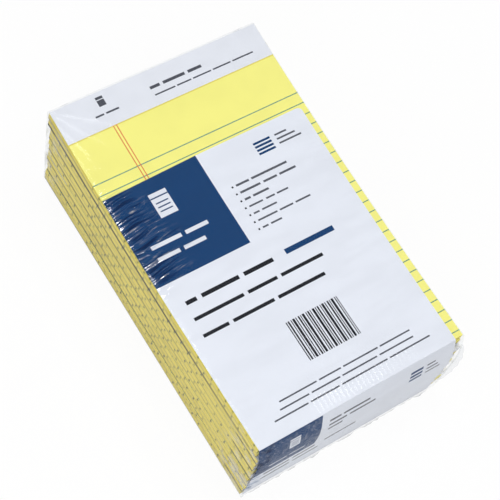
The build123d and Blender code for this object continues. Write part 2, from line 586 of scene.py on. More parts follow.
@dataclass(frozen=True)
class ClearFilm:
    """Thin clear shrink film: it lets light through, mirrors at its pleats, is a little hazy and carries
    painted shade in its folds.
    """

    tint: Colour = (0.985, 0.988, 0.99)
    haze: Colour = (0.80, 0.82, 0.86)
    painted_fold_shade: Colour = (0.42, 0.50, 0.62)
    edge_on: float = 0.016
    haze_share: float = 0.002
    pleat_gloss: float = 0.06
    roughness: float = 0.08

    def material(self) -> bpy.types.Material:
        """Makes the film's material, which reads the film's painted fold shade, frost and sheen at each
        point.

        Returns:
            The film's material.
        """
        s = Shader("clear_film")
        crinkle = s.grain((0.6, 1.0, 1.0), 420.0, 4.0)
        ripple = s.grain((1.0, 1.0, 1.0), 95.0)
        height = s.math("ADD", s.math("MULTIPLY", crinkle, 0.25), ripple)
        normal = s.bump(height, 0.5 * MM, 0.35)
        fold_shade_share = s.node("ShaderNodeAttribute", attribute_name="painted_fold_shade").outputs["Fac"]
        frosted = s.node("ShaderNodeAttribute", attribute_name="frost").outputs["Fac"]
        sheen = s.node("ShaderNodeAttribute", attribute_name="sheen").outputs["Fac"]
        # The clear colour darkens towards the fold-shade colour: painted shade in the pleats' valleys and in
        # the folds beside the near left corner
        clear = s.node("ShaderNodeBsdfTransparent", {0: s.mix(fold_shade_share, self.tint, self.painted_fold_shade)})
        cloudy = s.node("ShaderNodeBsdfDiffuse", {0: (*self.haze, 1.0)})
        milky = s.math("ADD", frosted, self.haze_share)
        veil = s.node("ShaderNodeMixShader", {0: milky, 1: clear.outputs[0], 2: cloudy.outputs[0]})
        inputs = {0: (1.0, 1.0, 1.0, 1.0), "Roughness": self.roughness, "Normal": normal}
        mirror = s.node("ShaderNodeBsdfGlossy", inputs)
        edge = s.node("ShaderNodeLayerWeight", {"Blend": self.edge_on, "Normal": normal}).outputs["Facing"]
        bright = s.math("ADD", edge, s.math("MULTIPLY", sheen, self.pleat_gloss))
        skin = s.node("ShaderNodeMixShader", {0: bright, 1: veil.outputs[0], 2: mirror.outputs[0]})
        s.tree.links.new(skin.outputs[0], s.output.inputs[0])
        return s.material


@dataclass
class PadStack:
    """The twelve pads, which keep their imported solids."""

    shape: StackShape
    sheets: CanarySheets = field(default_factory=CanarySheets)
    board: Chipboard = field(default_factory=Chipboard)
    header: HeaderPaper = field(default_factory=HeaderPaper)

    def dress(self, nodes: dict[str, bpy.types.Object]) -> None:
        """Gives each pad's sheets, board and header their finish.

        Args:
            nodes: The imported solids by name.
        """
        for pad in PADS:
            top = pad is PADS[-1]
            self.paint(nodes[f"{pad.name}_sheets"], self.sheets.material(pad, self.shape))
            self.paint(nodes[f"{pad.name}_board"], self.board.material(pad, self.shape))
            self.paint(nodes[f"{pad.name}_header"], self.header.material(pad, self.shape, top))
            log.info("dressed %s", pad.name)

    def paint(self, node: bpy.types.Object, material: bpy.types.Material) -> None:
        """Puts one material on a solid."""
        node.data.materials.clear()
        node.data.materials.append(material)


def finished(name: str, bm: bmesh.types.BMesh, materials: list[bpy.types.Material]) -> bpy.types.Object:
    """Makes an object of a finished bmesh and lets it ride with the pack.

    Args:
        name: The piece's name.
        bm: The mesh, in place.
        materials: Its materials by slot.

    Returns:
        The new object.
    """
    mesh = bpy.data.meshes.new(name)
    bm.to_mesh(mesh)
    bm.free()
    for material in materials:
        mesh.materials.append(material)
    piece = bpy.data.objects.new(name, mesh)
    bpy.context.scene.collection.objects.link(piece)
    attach(piece, "root")
    log.info("%s: %d faces", name, len(mesh.polygons))
    return piece


@dataclass(frozen=True)
class PrintBox:
    """A printed field on the flat label: from the left edge, from the head edge, and its ink."""

    left: float
    right: float
    upper: float
    lower: float
    ink: Ink


@dataclass
class WrapLabel:
    """The paper label: flat on the top page, folded over the near end, hanging down that end."""

    shape: StackShape
    stock: LabelStock = field(default_factory=LabelStock)
    left: float = -64.95 * MM
    width: float = 121.95 * MM
    head: float = 51.5 * MM
    trim: float = 1.7 * MM
    flare: float = 1.6 * MM
    lift: float = 0.13 * MM
    end_gap: float = 0.55 * MM
    above_ground: float = 1.6 * MM
    thickness: float = 0.1 * MM
    corner: float = 2.2 * MM
    step: float = 3.0 * MM

    def build(self) -> bpy.types.Object:
        """Cuts the label flat, prints it, folds it over the pack and gives it its thickness.

        Returns:
            The label.
        """
        run = self.run()
        length = run[-1][0]
        bm = bmesh.new()
        bmesh.ops.create_grid(bm, x_segments=1, y_segments=1, size=0.5)
        bmesh.ops.translate(bm, vec=(0.5, -0.5, 0.0), verts=bm.verts)
        bmesh.ops.scale(bm, vec=(self.width, length, 1.0), verts=bm.verts)
        corner = max(bm.verts, key=lambda v: v.co.x + v.co.y)
        bmesh.ops.bevel(
            bm, geom=[corner], offset=self.corner, affect="VERTICES", segments=5, profile=0.5, material=-1
        )
        steps = [count * self.step for count in range(1, int(length / self.step))]
        for down in [*steps, self.trim, self.fold_place()]:
            self.cut(bm, list(bm.faces), (0.0, -down, 0.0), (0.0, 1.0, 0.0))
        for box in self.prints():
            self.stamp(bm, box)
        for vert in bm.verts:
            vert.co = self.folded(run, vert.co.x, -vert.co.y)
        bmesh.ops.recalc_face_normals(bm, faces=bm.faces)
        if sum(face.normal.z for face in bm.faces) < 0:
            bmesh.ops.reverse_faces(bm, faces=bm.faces)
        piece = finished("printed_label", bm, self.stock.materials())
        paper = piece.modifiers.new("paper", "SOLIDIFY")
        paper.thickness = self.thickness
        paper.offset = -1.0
        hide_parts("wrap_label")
        return piece

    def run(self) -> list[tuple[float, float, float]]:
        """Gives the label's run over the pack.

        Returns:
            Points of arc length, Y and Z, from the head edge to the lower edge.
        """
        fold = self.shape.fold - self.end_gap
        crest = self.shape.top(fold) + self.lift
        places = []
        for count in range(121):
            y = self.head + (fold - self.head) * count / 120
            places.append((y, self.shape.top(y) + self.lift))
        for count in range(1, 61):
            z = crest + (self.above_ground - crest) * count / 60
            places.append((self.shape.near_end(z, self.lift, self.end_gap), z))
        run = [(0.0, *places[0])]
        for before, after in zip(places, places[1:]):
            run.append((run[-1][0] + math.dist(before, after), *after))
        return run

    def folded(self, run: list[tuple[float, float, float]], across: float, along: float) -> Vector:
        """Places a point of the flat label on the pack.

        Args:
            run: The label's run.
            across: Distance from the label's left edge.
            along: Distance from its head edge.

        Returns:
            The point on the pack.
        """
        if along < self.trim:
            along = self.trim - (self.trim - along) * (0.25 + 0.75 * min(1.0, across / (56 * MM)))
        across += self.flare * max(0.0, 1 - along / self.head / 3) * max(0.0, across / self.width * 25 - 24)
        along = min(max(along, 0.0), run[-1][0])
        for before, after in zip(run, run[1:]):
            if along <= after[0]:
                share = (along - before[0]) / (after[0] - before[0])
                y = before[1] + (after[1] - before[1]) * share
                z = before[2] + (after[2] - before[2]) * share
                lean = self.shape.lean_across * min(0.0, z - self.shape.page)
                return Vector((self.left + across + lean, y, z))
        return Vector((self.left + across, run[-1][1], run[-1][2]))

    def cut(self, bm: bmesh.types.BMesh, faces: list, at: tuple, across: tuple) -> None:
        """Cuts some faces of the flat label along a line.

        Args:
            bm: The flat label.
            faces: The faces to cut.
            at: A point of the line.
            across: The direction across the line.
        """
        edges = {edge for face in faces for edge in face.edges}
        verts = {vert for face in faces for vert in face.verts}
        bmesh.ops.bisect_plane(bm, geom=[*faces, *edges, *verts], dist=1e-7, plane_co=at, plane_no=across)

    def stamp(self, bm: bmesh.types.BMesh, box: PrintBox) -> None:
        """Cuts the flat label along a field's outline and inks the faces inside.

        Args:
            bm: The flat label.
            box: The field.
        """
        middle = ((box.left + box.right) / 2, -(box.upper + box.lower) / 2 - self.trim)
        for at, across in (
            ((box.left, 0.0, 0.0), (1.0, 0.0, 0.0)),
            ((box.right, 0.0, 0.0), (1.0, 0.0, 0.0)),
            ((0.0, -box.upper - self.trim, 0.0), (0.0, 1.0, 0.0)),
            ((0.0, -box.lower - self.trim, 0.0), (0.0, 1.0, 0.0)),
        ):
            self.cut(bm, self.touched(bm, box), at, across)
        for face in self.touched(bm, box):
            centre = face.calc_center_bounds()
            inside_x = abs(centre.x - middle[0]) < (box.right - box.left) / 2
            inside_y = abs(centre.y - middle[1]) < (box.lower - box.upper) / 2
            if inside_x and inside_y:
                face.material_index = box.ink

    def touched(self, bm: bmesh.types.BMesh, box: PrintBox) -> list:
        """Lists the faces of the flat label that a field lies on.

        Args:
            bm: The flat label.
            box: The field.

        Returns:
            The faces.
        """
        found = []
        slack = 1e-7
        for face in bm.faces:
            xs = [vert.co.x for vert in face.verts]
            ys = [-vert.co.y - self.trim for vert in face.verts]
            if max(xs) > box.left + slack and min(xs) < box.right - slack:
                if max(ys) > box.upper + slack and min(ys) < box.lower - slack:
                    found.append(face)
        return found

    def prints(self) -> list[PrintBox]:
        """Lists the printed fields.

        Returns:
            The fields, in the order in which they are printed.
        """
        fold = self.fold_place() - self.trim
        boxes = [PrintBox(0.0, 56.6 * MM, -self.trim, 53.2 * MM, Ink.NAVY)]
        boxes += self.pad_sign(27.6 * MM, 14.0 * MM, 1.0)
        boxes += self.words((9.0, 27.0, 29.5, 43.0), 33.2, 1.1, Ink.PICTOGRAM)
        boxes += self.words((9.0, 22.0, 24.5, 37.5), 40.2, 1.1, Ink.PICTOGRAM)
        for count in range(4):
            boxes += self.words((88.0, 98.5), 6.4 + 2.1 * count, 0.62, Ink.NAVY)
        boxes += self.words((101.5, 109.0), 6.6, 0.5, Ink.GREY)
        boxes += self.words((101.5, 113.0), 9.2, 0.5, Ink.GREY)
        boxes += self.words((101.5, 115.5), 11.8, 0.5, Ink.GREY)
        rows = (
            (67.0, 75.0, 76.6, 99.0),
            (67.0, 79.5, 81.5, 90.0, 91.6, 102.0),
            (67.0, 70.6, 72.2, 82.0),
            (67.0, 75.5, 77.6, 83.0, 84.4, 91.5),
            (67.0, 70.6, 72.2, 81.5),
            (67.0, 79.0, 80.6, 89.0, 90.6, 100.0),
            (67.0, 70.6, 72.2, 79.0),
        )
        for count, stops in enumerate(rows):
            down = 22.6 + 4.4 * count
            boxes += self.words((64.3, 65.3), down, 0.5, Ink.BLACK)
            boxes += self.words(stops, down, 0.62 if count < 3 else 0.5, Ink.GREY)
        boxes += self.words((9.2, 15.5, 18.5, 41.0, 44.0, 62.0), 66.6, 1.15, Ink.BLACK)
        boxes += self.words((70.0, 100.5), 66.0, 1.5, Ink.NAVY)
        boxes += self.words((8.4, 38.0, 40.6, 58.5, 61.0, 87.0), 76.0, 0.95, Ink.BLACK)
        boxes += self.words((7.8, 23.0, 25.6, 50.5, 53.0, 82.0), 85.6, 0.95, Ink.BLACK)
        boxes += self.bar_field(48.4 * MM, 80.0 * MM, 99.0 * MM, 122.0 * MM)
        boxes += self.words((22.5, 45.0, 46.6, 60.0, 61.5, 83.0, 84.4, 103.4), 132.6, 0.42, Ink.GREY)
        boxes += self.words((20.5, 38.0, 39.6, 57.0, 58.4, 80.0, 81.6, 103.0), 136.4, 0.42, Ink.GREY)
        boxes += self.words((14.8, 35.0, 36.6, 54.0, 55.6, 84.0, 85.6, 111.0), 140.2, 0.42, Ink.GREY)
        boxes += self.flap_prints(fold / MM)
        return boxes

    def fold_place(self) -> float:
        """Gives the distance from the head edge to the fold, along the label."""
        fold = self.shape.fold - self.end_gap
        return next(along for along, y, z in self.run() if y <= fold + 1e-9)

    def flap_prints(self, fold: float) -> list[PrintBox]:
        """Lists the fields printed on the hanging end.

        Args:
            fold: Distance from the head edge to the fold, in millimetres.

        Returns:
            The fields below the fold.
        """
        boxes = [PrintBox(0.0, 38.0 * MM, (fold + 0.5) * MM, (fold + 33.0) * MM, Ink.NAVY)]
        boxes += self.pad_sign(22.0 * MM, (fold + 11.0) * MM, 0.62)
        boxes += self.words((8.0, 19.0, 20.5, 30.0), fold + 24.5, 0.7, Ink.PICTOGRAM)
        for count, stops in enumerate(((43.0, 50.0, 51.5, 68.0), (43.0, 54.0, 56.0, 72.0), (43.0, 52.0))):
            boxes += self.words(stops, fold + 9.5 + 4.4 * count, 0.85, Ink.GREY)
        boxes += self.words((8.0, 24.0, 26.0, 40.0, 46.0, 66.0), fold + 38.5, 1.3, Ink.GREY)
        boxes += self.words((8.0, 26.0, 28.0, 44.0), fold + 46.5, 1.1, Ink.GREY)
        for count in range(3):
            boxes += self.words((94.0, 102.0), fold + 9.0 + 3.6 * count, 1.1, Ink.NAVY)
        for count, end in enumerate((110.0, 112.0, 114.0)):
            boxes += self.words((104.5, end), fold + 9.0 + 3.6 * count, 0.6, Ink.GREY)
        return boxes

    def words(self, stops: tuple[float, ...], down: float, half: float, ink: Ink) -> list[PrintBox]:
        """Makes a line of word-like bars.

        Args:
            stops: Left and right ends of the bars in turn, in millimetres.
            down: The line's distance from the head edge, in millimetres.
            half: Half of the bars' height, in millimetres.
            ink: Their ink.

        Returns:
            One field for each bar.
        """
        made = []
        for left, right in zip(stops[::2], stops[1::2]):
            made.append(PrintBox(left * MM, right * MM, (down - half) * MM, (down + half) * MM, ink))
        return made

    def pad_sign(self, across: float, down: float, size: float) -> list[PrintBox]:
        """Makes the sign of a writing pad: a pale sheet with a band at its head and three lines.

        Args:
            across: The sign's middle, from the left edge.
            down: The sign's middle, from the head edge.
            size: Its scale.

        Returns:
            The fields of the sign, the sheet first.
        """
        wide = 5.2 * MM * size
        high = 7.0 * MM * size
        made = [PrintBox(across - wide, across + wide, down - high, down + high, Ink.PICTOGRAM)]
        made.append(PrintBox(across - wide, across + wide, down - high * 0.66, down - high * 0.56, Ink.NAVY))
        for count in range(3):
            line = down - high * 0.2 + high * 0.34 * count
            inset = wide * 0.7
            made.append(PrintBox(across - inset, across + inset, line, line + high * 0.1, Ink.NAVY))
        return made

    def bar_field(self, left: float, right: float, upper: float, lower: float) -> list[PrintBox]:
        """Makes a field of upright bars whose widths repeat by a plain rule.

        Args:
            left: The field's left side.
            right: Its right side.
            upper: Its upper side.
            lower: Its lower side.

        Returns:
            One field for each bar.
        """
        made = []
        place = left
        count = 0
        while place < right - 0.4 * MM:
            bar = (0.55, 0.9, 0.5, 1.3)[count % 4] * MM
            gap = (0.6, 0.9, 0.55)[count % 3] * MM
            made.append(PrintBox(place, min(place + bar, right), upper, lower, Ink.BLACK))
            place += bar + gap
            count += 1
        return made


def clamp(*values: float) -> float:
    """Gives the least of some values, kept between 0 and 1."""
    return max(0.0, min(1.0, *values))


def fade(distance: float, reach: float) -> float:
    """Falls evenly from 1 at no distance to 0 at the reach and past it."""
    return max(0.0, 1 - distance / reach)


@dataclass(frozen=True)
class Wave:
    """Smooth noise in two ways over the film.

    Attributes:
        first: Its scale along the first way.
        second: Its scale along the second way.
        sheet: Which sheet of noise it is cut from, so that no two waves are alike.
        height: About its greatest height.
    """

    first: float
    second: float
    sheet: float
    height: float = 1.0

    def at(self, first: float, second: float) -> float:
        """Gives the wave's height at a place, below 0 in its valleys."""
        return self.height * noise.noise(Vector((first * self.first, second * self.second, self.sheet)))

    def crest(self, first: float, second: float) -> float:
        """Gives the wave's height where it stands proud, and 0 in its valleys."""
        return max(0.0, self.at(first, second))


@dataclass(frozen=True)
class Stretch:
    """A stretch of the film with soft ends, in millimetres.

    Attributes:
        start: Where it begins.
        rise: How far on it has its full strength.
        end: Where it is over.
        fall: How far before that it begins to fade.
    """

    start: float
    rise: float
    end: float
    fall: float

    def at(self, place: float) -> float:
        """Gives the stretch's strength at a place, from 0 to 1."""
        return clamp((place - self.start) / self.rise, (self.end - place) / self.fall)


@dataclass(frozen=True)
class FilmWaves:
    """The waves that shape the film, its sheen and its painted shade."""

    pleat_reach: Wave = Wave(0.45, 1.0, 0.0, 26.0)
    pleat_bend: Wave = Wave(0.09, 0.1, 2.0, 1.4)
    pleat_ridge: Wave = Wave(0.055, 1.0, 4.0)
    fleck: Wave = Wave(0.22, 0.35, 21.0, 3.0)
    glint: Wave = Wave(0.24, 0.5, 22.0, 6.0)
    end_broad: Wave = Wave(0.09, 0.16, 3.0, 0.5)
    end_small: Wave = Wave(0.2, 0.35, 8.0, 0.4)
    end_corner: Wave = Wave(0.2, 0.45, 11.0, 0.9)
    end_contour: Wave = Wave(0.07, 0.13, 3.0)
    end_contour_small: Wave = Wave(0.2, 0.3, 8.0, 0.35)
    corner_fold_shade: Wave = Wave(0.25, 0.55, 11.0, 2.6)
    side_low: Wave = Wave(0.12, 0.1, 5.0, 0.12)
    side_corner: Wave = Wave(0.25, 0.5, 9.0, 0.5)
    gather: Wave = Wave(0.12, 1.0, 15.0, 4.0)
    hem: Wave = Wave(0.14, 0.1, 12.0)
    hem_small: Wave = Wave(0.4, 0.1, 13.0, 0.5)
    head_crease: Wave = Wave(9.0, 1.0, 1.0)
    ear_rim: Wave = Wave(9.0, 1.0, 6.0, 0.25)
    ear_crinkle: Wave = Wave(6.0, 2.0, 2.0, 0.5)


@dataclass(frozen=True)
class FineZone:
    """A part of the plain box that is split finer.

    Attributes:
        axis: The axis along which its edges are split.
        cuts: The number of cuts for each edge.
        low: Its lowest corner.
        high: Its highest corner.
    """

    axis: int
    cuts: int
    low: Vector
    high: Vector

    def holds(self, edge: bmesh.types.BMEdge, slack: float) -> bool:
        """Tells whether an edge lies in the zone, within the slack, and runs along its axis.

        Args:
            edge: The edge.
            slack: How far outside the zone the edge's middle may lie.

        Returns:
            Whether the edge is one to split.
        """
        way = edge.verts[1].co - edge.verts[0].co
        middle = (edge.verts[0].co + edge.verts[1].co) / 2
        inside = all(self.low[i] - slack <= middle[i] <= self.high[i] + slack for i in range(3))
        return inside and abs(way[self.axis]) > 0.9 * way.length


@dataclass
class ShrinkFilm:
    """The film bag: a rounded box, fitted to the leaning stack, with pleats, combs and one ear.

    Places on the film are told in millimetres: u from the page's left edge, d below the page's head and h
    above the ground. The heights of pleats, combs and waves are in millimetres too.
    """

    shape: StackShape
    finish: ClearFilm = field(default_factory=ClearFilm)
    waves: FilmWaves = field(default_factory=FilmWaves)
    lift: float = 0.31 * MM
    end_gap: float = 0.9 * MM
    side_gap: float = 0.45 * MM
    far_gap: float = 0.3 * MM
    edge: float = 1.0 * MM
    thickness: float = 0.05 * MM
    steps: tuple[int, int, int] = (60, 186, 16)
    page_width: float = 127.0
    page_length: float = 203.0
    ripple: float = 0.05
    ripple_scale: float = 60.0
    pleat_height: float = 0.58
    pleat_reach: float = 14.0
    pleat_slant: float = 0.16
    pleat_stretch: Stretch = Stretch(24.0, 34.0, 165.0, 40.0)
    shade_stretch: Stretch = Stretch(52.0, 6.0, 110.0, 6.0)
    sheen_stretch: Stretch = Stretch(52.0, 6.0, 116.0, 8.0)
    glint_sheen: float = 7.0
    glint_across: Stretch = Stretch(3.0, 2.0, 21.0, 6.0)
    glint_down: Stretch = Stretch(56.0, 3.0, 107.0, 3.0)
    comb_height: float = 0.22
    end_comb_pitch: float = 2.6
    end_comb_across: Stretch = Stretch(30.0, 12.0, 112.0, 12.0)
    side_comb_pitch: float = 2.9
    side_comb_down: Stretch = Stretch(52.0, 10.0, 100.0, 15.0)
    crease_reach: float = 46.0
    gather_reach: float = 22.0
    hem_height: float = 7.0
    hem_depth: float = 1.8
    ear_low: float = 9.0
    ear_tall: float = 47.0
    ear_root: float = 1.5
    ear_reach: float = 3.2
    ear_frost: float = 0.16
    gather_frost: float = 0.2
    hem_frost: float = 0.35

    def build(self) -> bpy.types.Object:
        """Makes the bag from a subdivided cube, fits it to the stack and pleats it.

        Returns:
            The film.
        """
        shape = self.shape
        size = Vector((shape.right_wall - shape.left_wall, 2 * shape.half_length, shape.page))
        bm = bmesh.new()
        bmesh.ops.create_cube(bm, size=1.0, matrix=Matrix.Diagonal((*size, 1.0)))
        bmesh.ops.translate(bm, vec=(0.0, 0.0, size.z / 2), verts=bm.verts)
        bmesh.ops.bevel(
            bm, geom=list(bm.edges), offset=self.edge, affect="EDGES", segments=3, profile=0.5, material=-1
        )
        for axis in range(3):
            runs = [edge for edge in bm.edges if self.runs_along(edge, axis, size)]
            bmesh.ops.subdivide_edges(bm, edges=runs, cuts=self.steps[axis], use_grid_fill=True)
        for zone in self.fine_zones(size):
            found = [edge for edge in bm.edges if zone.holds(edge, 0.2 * MM)]
            bmesh.ops.subdivide_edges(bm, edges=found, cuts=zone.cuts, use_grid_fill=True)
        self.shrink(bm, size)
        for face in bm.faces:
            face.smooth = True
        piece = finished("shrunk_film", bm, [self.finish.material()])
        skin = piece.modifiers.new("skin", "SOLIDIFY")
        skin.thickness = self.thickness
        skin.offset = -1.0
        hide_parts("shrink_film")
        return piece

    def runs_along(self, edge: bmesh.types.BMEdge, axis: int, size: Vector) -> bool:
        """Tells whether an edge of the bevelled cube runs along an axis for most of its length."""
        way = edge.verts[1].co - edge.verts[0].co
        return abs(way[axis]) > size[axis] * 0.5

    def fine_zones(self, size: Vector) -> list[FineZone]:
        """Lists where the film's pleats are small.

        Args:
            size: The plain box's size.

        Returns:
            The comb at the near fold, the left pleats, the side comb, the two corners of the head, and the
            left part of the near end twice, across and up.
        """
        x, y, _ = size / 2
        top = size.z
        end_low, end_high = Vector((-x, -y, 0.0)), Vector((-x + 52 * MM, -y, top))
        return [
            FineZone(0, 3, Vector((-x + 28 * MM, -y, top)), Vector((x - 12 * MM, -y + 16 * MM, top))),
            FineZone(1, 3, Vector((-x, -28 * MM, top)), Vector((-x + 36 * MM, 62 * MM, top))),
            FineZone(1, 2, Vector((x - 18 * MM, -2 * MM, top)), Vector((x, 56 * MM, top))),
            FineZone(0, 1, Vector((-x, y - 30 * MM, top)), Vector((-x + 36 * MM, y, top))),
            FineZone(0, 1, Vector((x - 36 * MM, y - 44 * MM, top)), Vector((x, y, top))),
            FineZone(0, 1, end_low, end_high),
            FineZone(2, 2, end_low, end_high),
        ]

    def shrink(self, bm: bmesh.types.BMesh, size: Vector) -> None:
        """Moves the box's points onto the pack, pleats them and marks the painted shade of its folds and its
        milky and glossy places.

        Args:
            bm: The subdivided box.
            size: The box's size.
        """
        bm.normal_update()
        painted_fold_shades = bm.verts.layers.float.new("painted_fold_shade")
        frosts = bm.verts.layers.float.new("frost")
        sheens = bm.verts.layers.float.new("sheen")
        moves = [(vert, self.fitted(vert.co, size), vert.normal.copy()) for vert in bm.verts]
        for vert, place, normal in moves:
            vert.co = place + normal * self.pleat(place, normal)
            vert.co.z = max(0.0, vert.co.z)
            u, d, h = self.spot(place)
            if normal.z > 0.5:
                # Painted shade in the valleys between the pleats
                vert[painted_fold_shades] = self.shadowed(u, d)
                vert[sheens] = self.pleat_sheen(u, d)
            elif normal.y < -0.5:
                # Painted shade in the ragged folds beside the near left corner
                vert[painted_fold_shades] = self.corner_fold_shade(u, h)
                vert[sheens] = self.end_sheen(u, h)
                vert[frosts] = self.hem_frost * self.hem_wave(u, h)
            elif normal.z > -0.5:
                vert[sheens] = self.wall_sheen(u, d, h)
                vert[frosts] = self.gather_frost * vert[sheens]
        for vert in self.add_ear(bm):
            vert[frosts] = self.ear_frost

    def spot(self, place: Vector) -> tuple[float, float, float]:
        """Gives a place's u, d and h."""
        shape = self.shape
        return (place.x - shape.page_left) / MM, (shape.page_head - place.y) / MM, place.z / MM

    def fitted(self, place: Vector, size: Vector) -> Vector:
        """Moves a point of the plain box onto the leaning, sagging bag.

        Args:
            place: The point on the box.
            size: The box's size.

        Returns:
            The point on the bag.
        """
        shape = self.shape
        up = place.z / size.z
        along = place.y / size.y + 0.5
        across = place.x / size.x + 0.5
        z = up * shape.page
        for _ in range(3):
            near = shape.near_end(z, self.lift, self.end_gap)
            far = shape.far_wall + self.far_gap + shape.lean_along * z
            y = near + (far - near) * along
            z = up * (shape.top(y) + self.lift)
        left = shape.left_wall - self.side_gap + shape.lean_across * z
        right = shape.right_wall + self.side_gap + shape.lean_across * z
        return Vector((left + (right - left) * across, y, z))

    def pleat(self, place: Vector, normal: Vector) -> float:
        """Gives how far the film stands proud at a place.

        Args:
            place: The point on the bag.
            normal: The way the film faces there.

        Returns:
            The height of its pleats and ripples, in metres.
        """
        u, d, h = self.spot(place)
        height = self.ripple * (1 + noise.noise(place * self.ripple_scale))
        if normal.z > 0.5:
            height += self.left_pleats(u, d) + self.end_comb(u, d) + self.side_comb(u, d)
            height += self.corner_creases(u, d)
        elif normal.y < -0.5:
            height += self.end_waves(u, h) + self.hem_depth * self.hem_wave(u, h)
        elif abs(normal.x) > 0.5:
            height += self.side_waves(d, h)
        return height * MM

    def end_waves(self, u: float, h: float) -> float:
        """Gives the waves of the near end.

        Args:
            u: Place across.
            h: Height above the ground.

        Returns:
            Broad waves, smaller ones, and the folds beside the left corner.
        """
        waves = self.waves
        corner = fade(u, 9) * waves.end_corner.crest(u, h)
        return waves.end_broad.crest(u, h) + waves.end_small.crest(u, h) + corner

    def side_waves(self, d: float, h: float) -> float:
        """Gives the waves of the long sides, higher beside the upright corners."""
        corner = fade(abs(d - self.page_length), 9) + fade(abs(d), 7)
        return self.waves.side_low.crest(d, h) + corner * self.waves.side_corner.crest(d, h)

    def left_pleats(self, u: float, d: float) -> float:
        """Gives the pleats drawn in from the left edge beside the navy field, lower at the edge itself."""
        return self.pleat_height * self.drawn_in(u, d) * max(0.0, self.ridge(u, d)) * clamp(0.4 + u / 8)

    def drawn_in(self, u: float, d: float) -> float:
        """Gives how strongly the film is drawn in from the left edge."""
        reach = self.pleat_reach + abs(self.waves.pleat_reach.at(d, 1.5))
        return fade(u, reach) ** 0.6 * self.pleat_stretch.at(d)

    def ridge(self, u: float, d: float) -> float:
        """Gives the pleats' wave: ridges above 0, valleys below."""
        bent = d + self.pleat_slant * u + self.waves.pleat_bend.at(u, d)
        return self.waves.pleat_ridge.at(u, bent)

    def shadowed(self, u: float, d: float) -> float:
        """Gives the painted shade in the valleys between the pleats: how much darker the film is there."""
        valley = clamp((-self.ridge(u, d) - 0.16) * 6)
        return 0.6 * valley * self.drawn_in(u, d) * self.shade_stretch.at(d)

    def pleat_sheen(self, u: float, d: float) -> float:
        """Gives how much more the film on top mirrors where it is pleated.

        Args:
            u: Place across.
            d: Distance below the page's head.

        Returns:
            The sheen of the left pleats, in flecks and dashes, of the combs and of the head's creases.
        """
        crest = clamp((self.ridge(u, d) - 0.01) * 6) * self.drawn_in(u, d)
        fleck = clamp(0.5 + self.waves.fleck.at(u, d)) * max(0.15, self.sheen_stretch.at(d))
        combs = (0.1 * self.end_comb(u, d) + 0.5 * self.side_comb(u, d)) / self.comb_height
        soft = min(1.6, 1.9 * crest * fleck + combs + 0.2 * self.corner_creases(u, d))
        return soft + self.glint_sheen * self.glint(u, d)

    def glint(self, u: float, d: float) -> float:
        """Gives the short white dashes on the pleats over the navy field, from 0 to 1."""
        spark = clamp(self.waves.glint.at(u, d) - 1.56) * clamp((self.ridge(u, d) - 0.2) * 9)
        return spark * self.glint_across.at(u) * self.glint_down.at(d)

    def end_sheen(self, u: float, h: float) -> float:
        """Gives the pale contour lines of the waves at the near end.

        Args:
            u: Place across.
            h: Height above the ground.

        Returns:
            Their sheen, strongest over the navy field.
        """
        wave = self.waves.end_contour.at(u, h) + self.waves.end_contour_small.at(u, h)
        line = max(0.0, 1 - abs(math.sin(wave * 9)) * 2.0)
        return 1.1 * line * max(0.2, min(1.0, (58 - u) / 14))

    def wall_sheen(self, u: float, d: float, h: float) -> float:
        """Gives the gathered, glossier film beside the upright corners of the other walls.

        Args:
            u: Place across.
            d: Distance below the page's head.
            h: Height above the ground.

        Returns:
            The sheen of the gathers.
        """
        along = u < 2 or u > self.page_width - 2
        beside = min(abs(d - 1), abs(d - self.page_length + 1))
        if not along:
            beside = min(abs(u + 1), abs(u - self.page_width - 1))
        return fade(beside, self.gather_reach) * clamp(self.waves.gather.at(beside, h * 0.3 + beside * 0.1))

    def hem_wave(self, u: float, h: float) -> float:
        """Gives the waves of the film's hem at the foot of the near end."""
        wave = self.waves.hem.at(u, h) + self.waves.hem_small.at(u, h)
        return fade(h, self.hem_height) * clamp(0.25 + wave)

    def corner_fold_shade(self, u: float, h: float) -> float:
        """Gives the painted shade of the ragged folds beside the near left corner, above its foot."""
        teeth = self.waves.corner_fold_shade.crest(u, h) * fade(u, 10)
        return min(0.9, teeth) * clamp((h - 8) / 6)

    def end_comb(self, u: float, d: float) -> float:
        """Gives the comb of short pleats along the near fold.

        Args:
            u: Place across.
            d: Distance below the page's head.

        Returns:
            Its height: a slow rise and a quick fall in each pleat.
        """
        strength = clamp(1.8 - abs(d - 199) / 4, self.end_comb_across.at(u))
        turn = (u / self.end_comb_pitch + 0.02 * d) % 1.0
        return 1.25 * self.comb_height * strength * min(turn / 0.62, (1 - turn) / 0.38)

    def side_comb(self, u: float, d: float) -> float:
        """Gives the comb of short pleats beside the label's right edge.

        Args:
            u: Place across.
            d: Distance below the page's head.

        Returns:
            Its height.
        """
        strength = fade(abs(u - 119), 9) * self.side_comb_down.at(d)
        turn = d * math.tau / self.side_comb_pitch - 0.45 * u
        return self.comb_height * strength * max(0.0, math.sin(turn))

    def corner_creases(self, u: float, d: float) -> float:
        """Gives the slanting creases at the two corners of the head.

        Args:
            u: Place across.
            d: Distance below the page's head.

        Returns:
            Their height.
        """
        made = 0.0
        for corner, way in ((0.0, 1.0), (self.page_width, -1.0)):
            out = way * (u - corner)
            turn = math.atan2(d + 2.0, out + 2.0)
            made += fade(math.hypot(out, d), self.crease_reach) * self.waves.head_crease.crest(turn, corner)
        return made

